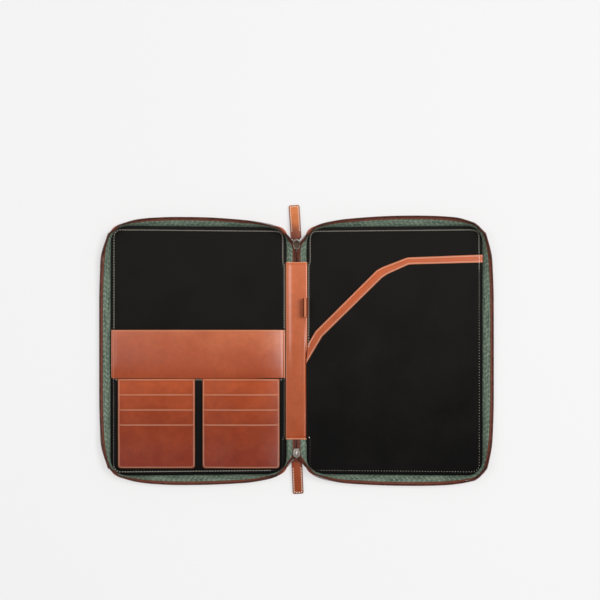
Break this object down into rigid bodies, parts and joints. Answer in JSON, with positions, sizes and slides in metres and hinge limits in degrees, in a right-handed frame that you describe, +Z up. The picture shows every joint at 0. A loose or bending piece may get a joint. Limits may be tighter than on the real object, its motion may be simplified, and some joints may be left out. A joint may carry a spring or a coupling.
{
  "type": "zip folder",
  "caption": "Open leather zip folder for A4 papers with document pocket, card slots, pen loop and slanting tablet pocket, lying flat on its cover.",
  "frame": {"origin": "under the middle of the spine, on the plane that the open folder lies on", "axes": "+X across the open folder, from the card half to the tablet pocket half; +Y along the spine, from the card slots towards the pen loop; +Z up from the surface"},
  "size_m": [0.5202, 0.382, 0.0203],
  "materials": {
    "tan_leather": "smooth waxed tan leather with a soft gloss and pale stitching",
    "black_suede": "matt black suede-like leather with pale stitching round its edge",
    "green_lining": "grey-green herringbone lining cloth",
    "brown_zip_tape": "brown woven zip tape",
    "brown_zip_teeth": "brown coil zip teeth",
    "slider_metal": "worn nickel-plated zip slider"
  },
  "bodies": {
    "root": {"cover": "tan_leather", "panel_right": "black_suede", "gusset_right": "tan_leather", "lining_right": "green_lining", "zip_tape_right": "brown_zip_tape", "zip_teeth_right": "brown_zip_teeth", "tablet_pocket": "black_suede", "pocket_trim": "tan_leather", "panel_left": "black_suede", "gusset_left": "tan_leather", "lining_left": "green_lining", "zip_tape_left": "brown_zip_tape", "zip_teeth_left": "brown_zip_teeth", "document_pocket": "tan_leather", "card_panel": "black_suede", "card_slot_inner_1": "tan_leather", "card_slot_inner_2": "tan_leather", "card_slot_inner_3": "tan_leather", "card_slot_inner_4": "tan_leather", "card_slot_outer_1": "tan_leather", "card_slot_outer_2": "tan_leather", "card_slot_outer_3": "tan_leather", "card_slot_outer_4": "tan_leather", "spine_panel": "tan_leather", "pen_loop": "tan_leather", "slider_top": "slider_metal", "pull_ring_top": "slider_metal", "pull_tab_top": "tan_leather", "slider_bottom": "slider_metal", "pull_ring_bottom": "slider_metal", "pull_tab_bottom": "tan_leather"}
  },
  "joints": []
}
